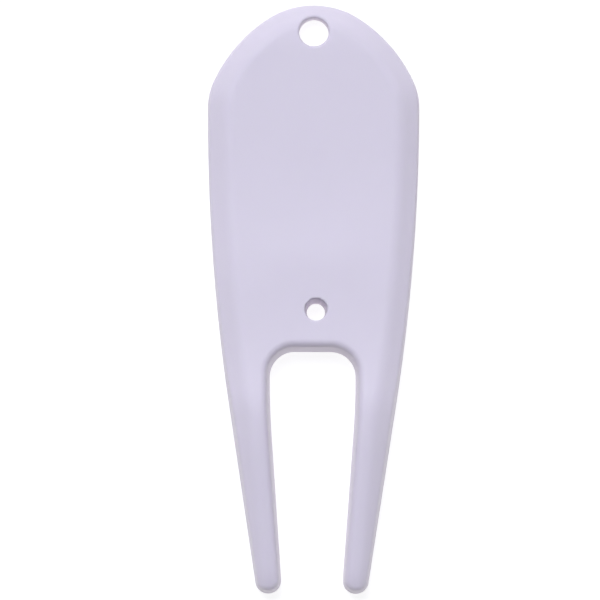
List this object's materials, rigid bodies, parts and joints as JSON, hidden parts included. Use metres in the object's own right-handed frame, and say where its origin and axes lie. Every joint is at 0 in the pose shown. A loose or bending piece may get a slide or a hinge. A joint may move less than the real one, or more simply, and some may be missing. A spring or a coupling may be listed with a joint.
{
  "type": "divot repair tool",
  "caption": "Flat forked golf divot repair tool with a rounded thumb end, a key-ring hole and a small tapered hole for a ball marker's peg.",
  "frame": {"origin": "on the flat back, at the middle of the tool's length and width", "axes": "+Z from the flat back towards the contoured front, +Y along the tool towards the rounded thumb end, so the prongs point to -Y, and +X across its width"},
  "size_m": [0.0284, 0.0794, 0.0058],
  "materials": {
    "body_plastic": "white plastic with a faint lavender cast, moulded, semi-gloss"
  },
  "bodies": {
    "root": {"divot_tool_body": "body_plastic"}
  },
  "joints": []
}
